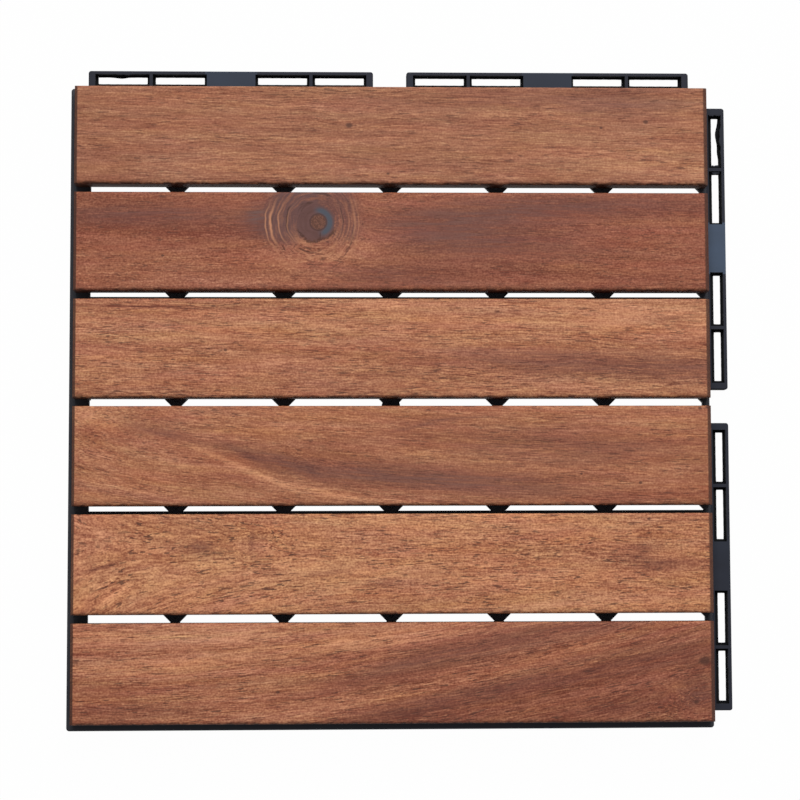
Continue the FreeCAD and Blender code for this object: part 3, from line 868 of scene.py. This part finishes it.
def slot_flash(side, low, high):
    """Thin uneven rim inside one opening, as rings of four points along its outline. Its reach at the
    distance s round the outline is flash + wander * (sin(1.3 s + p) + 0.7 sin(3.1 s + 2 p)) + corner *
    exp(-(d / corner reach)^2), with d the distance to the nearest corner and p from its place, and a
    bell-shaped bulge where one is named."""
    near, far = OPENING_NEAR, OPENING_FAR
    corners = np.array([(near, low), (far, low), (far, high), (near, high), (near, low)])
    edge = np.concatenate([
        start + (end - start) * spaced(0.0, 1.0, SLOT_STEP / np.abs(end - start).sum())[:-1, None]
        for start, end in zip(corners[:-1], corners[1:])])
    s = np.arange(len(edge)) * SLOT_STEP
    from_corner = np.abs(edge[:, None] - corners[None, :4]).sum(axis=2).min(axis=1)
    reach = SLOT_FLASH + SLOT_WANDER * (np.sin(1.3 * s + low) + 0.7 * np.sin(3.1 * s + 2 * low))
    reach = reach + SLOT_CORNER * np.exp(-(from_corner / SLOT_CORNER_REACH) ** 2)
    outside = edge[:, 0] > far - 0.01
    for bulging, along, length, amount in SLOT_BULGES:
        bulge = amount * np.exp(-((edge[:, 1] - along) / length) ** 2)
        reach = reach + (bulging == side) * outside * bulge
    middle = np.array([(near + far) / 2, (low + high) / 2])
    half = np.array([(far - near) / 2, (high - low) / 2])
    inner = middle + np.clip(edge - middle, reach[:, None] - half, half - reach[:, None])
    outer = middle + (edge - middle) * (1 + 0.15 / half)
    flat = np.stack([outer, inner, inner, outer], axis=1)
    if side == "top":
        flat = flat[..., ::-1]
    heights = np.broadcast_to(np.array(SLOT_HEIGHTS)[:, None], flat.shape[:2] + (1,))
    grid = np.concatenate([flat, heights], axis=2)
    at = np.arange(grid.shape[0] * 4).reshape(-1, 4)
    after, beside = np.roll(at, -1, axis=0), np.roll(at, -1, axis=1)
    both = np.roll(after, -1, axis=1)
    return grid.reshape(-1, 3), np.stack([at, beside, both, after], axis=-1).reshape(-1, 4)


def make_slot_flash(material):
    """The flash round every opening, as one piece of separate rings."""
    rings = [slot_flash(side, middle + start, middle + end) for side in ("right", "top")
             for middle in (-LOOP_MIDDLE, LOOP_MIDDLE) for start, end in OPENING_SPANS]
    counts = np.cumsum([0] + [len(points) for points, _ in rings])
    points = np.concatenate([points for points, _ in rings])
    faces = np.concatenate([faces + count for (_, faces), count in zip(rings, counts)])
    made = surface("base_grid_slot_flash", points, faces)
    made.data.materials.append(material)
    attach(made, "root")


def flash(start, end, way, length, height):
    """Ragged fin as rings of four points from start to end: it stands out by length * sin(pi t)^0.4 *
    (0.55 + 0.25 sin(9 t + s) + 0.2 sin(23 t + 2 s)), with s from its place."""
    start, end, way = np.array(start), np.array(end), np.array(way, float)
    t = spaced(0.0, 1.0, FLASH_STEP / np.linalg.norm(end - start))[1:-1]
    s = start.sum()
    waves = 0.55 + 0.25 * np.sin(9 * t + s) + 0.2 * np.sin(23 * t + 2 * s)
    out = length * np.sin(math.pi * t) ** 0.4 * waves
    path = start + (end - start) * t[:, None]
    down = np.array([0.0, 0.0, -height])
    edge = way * np.clip(out, 0.05, None)[:, None]
    ring = [path - way * 0.2, path + edge * 0.8, path + edge + down * 0.4, path - way * 0.2 + down]
    grid = np.stack(ring, axis=1)
    return skin_mesh(grid, start + down * 0.3, end + down * 0.3)


def make_mould_marks(material):
    """The gate scar and every piece of flash, on the base grid. The scar is a lumpy low dome: rings of
    radius r * (1 + 0.14 sin(3 a + 1) + 0.08 sin(7 a)), raised by
    sqrt(1 - r^2) * (1 + 0.2 sin(5 a + 4 r))."""
    turn = np.linspace(0, math.tau, 25)[:-1]
    steps = np.array(GATE_RINGS)[:, None]
    lumps = 1 + 0.14 * np.sin(3 * turn + 1) + 0.08 * np.sin(7 * turn)
    rise = np.sqrt(1 - steps ** 2) * (1 + 0.2 * np.sin(5 * turn + 4 * steps))
    a, b, c = GATE_SIZE
    x, y, z = GATE_PLACE
    grid = np.stack([x + a * steps * lumps * np.cos(turn), y + b * steps * lumps * np.sin(turn),
                     z - 0.1 + c * rise], axis=-1)
    marks = [("gate", skin_mesh(grid, (x, y, z - 0.2), (x, y, z + 0.85 * c)))]
    marks += [(name, flash(*shape)) for name, *shape in FLASH]
    for name, shape in marks:
        made = surface(f"base_grid_{name}", *shape)
        made.data.materials.append(material)
        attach(made, "root")


def dress(node, material):
    """Gives a CAD node its material."""
    mesh = frame["nodes"][node].data
    mesh.materials.clear()
    mesh.materials.append(material)


# Floor, light and camera

FLOOR_GLOW = 0.985
FLOOR_HALF = 6000.0
FLOOR_DROP = 0.02
FLOOR_MATT = (0.5, 0.5, 0.5, 1)
WORLD_COLOUR = (0.96, 0.98, 1.0, 1)
WORLD_STRENGTH = 0.36
WHITE = (1, 1, 1, 1)
SOFTBOX_PLACE = (150, 1000, 1300)
SOFTBOX_TARGET = (0, 0, 0)
SOFTBOX_SIZE = 1100
SOFTBOX_WATTS = 30
SOFTBOX_COLOUR = (1.0, 0.99, 0.97)


def floor():
    """White floor: light of strength 1 to the camera and to mirrors and glass, with a share of plain white
    that takes the tile's shadow."""
    paint = Paint("floor_white")
    paths = paint.node("ShaderNodeLightPath")
    seen = (Wire(paint, paths.outputs["Is Camera Ray"]) + paths.outputs["Is Glossy Ray"]
            + paths.outputs["Is Transmission Ray"])
    matt = paint.node("ShaderNodeBsdfDiffuse", (), {"Color": FLOOR_MATT})
    glow = paint.node("ShaderNodeEmission", (), {"Color": WHITE, "Strength": 1.0})
    both = paint.node("ShaderNodeMixShader", (), {
        0: seen * FLOOR_GLOW, 1: matt.outputs[0], 2: glow.outputs[0]})
    paint.feed(paint.output.inputs["Surface"], both.outputs[0])
    low, high = -FLOOR_HALF, FLOOR_HALF
    corners = np.array([(low, low), (high, low), (high, high), (low, high)])
    corners = np.column_stack([corners, np.full(4, -FLOOR_DROP)])
    mesh = bpy.data.meshes.new("floor")
    mesh.from_pydata(corners * MM, [], [(0, 1, 2, 3)])
    made = bpy.data.objects.new("floor", mesh)
    bpy.context.scene.collection.objects.link(made)
    mesh.materials.append(paint.material)


def world():
    """Soft light from all round, white where the camera sees it."""
    made = bpy.data.worlds.new("studio")
    bpy.context.scene.world = made
    made.use_nodes = True
    tree = made.node_tree
    tree.nodes.clear()
    paths = tree.nodes.new("ShaderNodeLightPath")
    soft = tree.nodes.new("ShaderNodeBackground")
    soft.inputs["Color"].default_value = WORLD_COLOUR
    soft.inputs["Strength"].default_value = WORLD_STRENGTH
    white = tree.nodes.new("ShaderNodeBackground")
    white.inputs["Color"].default_value = WHITE
    both = tree.nodes.new("ShaderNodeMixShader")
    output = tree.nodes.new("ShaderNodeOutputWorld")
    tree.links.new(paths.outputs["Is Camera Ray"], both.inputs[0])
    tree.links.new(soft.outputs[0], both.inputs[1])
    tree.links.new(white.outputs[0], both.inputs[2])
    tree.links.new(both.outputs[0], output.inputs[0])


def area_light(name, place, target, size, watts, colour):
    """Square softbox at a place in millimetres, turned to its target."""
    light = bpy.data.lights.new(name, "AREA")
    light.shape = "SQUARE"
    light.size = size * MM
    light.energy = watts
    light.color = colour
    made = bpy.data.objects.new(name, light)
    place, target = Vector(place) * MM, Vector(target) * MM
    turn = (target - place).to_track_quat("-Z", "Y").to_matrix().to_4x4()
    made.matrix_world = Matrix.Translation(place) @ turn
    bpy.context.scene.collection.objects.link(made)


def camera():
    """Camera at the photograph's place and angle."""
    data = bpy.data.cameras.new("camera")
    data.lens = CAMERA_LENS
    data.sensor_width = CAMERA_SENSOR
    data.clip_start = CAMERA_NEAR
    made = bpy.data.objects.new("camera", data)
    place, target = Vector(CAMERA_PLACE) * MM, Vector(CAMERA_TARGET) * MM
    back = (place - target).normalized()
    right = Vector((0, 1, 0)).cross(back).normalized()
    turn = Matrix((right, back.cross(right), back)).transposed().to_4x4()
    made.matrix_world = Matrix.Translation(place) @ turn @ Matrix.Rotation(CAMERA_ROLL, 4, "Z")
    bpy.context.scene.collection.objects.link(made)
    bpy.context.scene.camera = made


make_slats()
black = plastic()
dress("base_grid", black)
make_mould_marks(black)
make_slot_flash(black)
make_screws()
floor()
world()
area_light("softbox_back", SOFTBOX_PLACE, SOFTBOX_TARGET, SOFTBOX_SIZE, SOFTBOX_WATTS, SOFTBOX_COLOUR)
camera()
bpy.context.scene.view_settings.view_transform = "Standard"
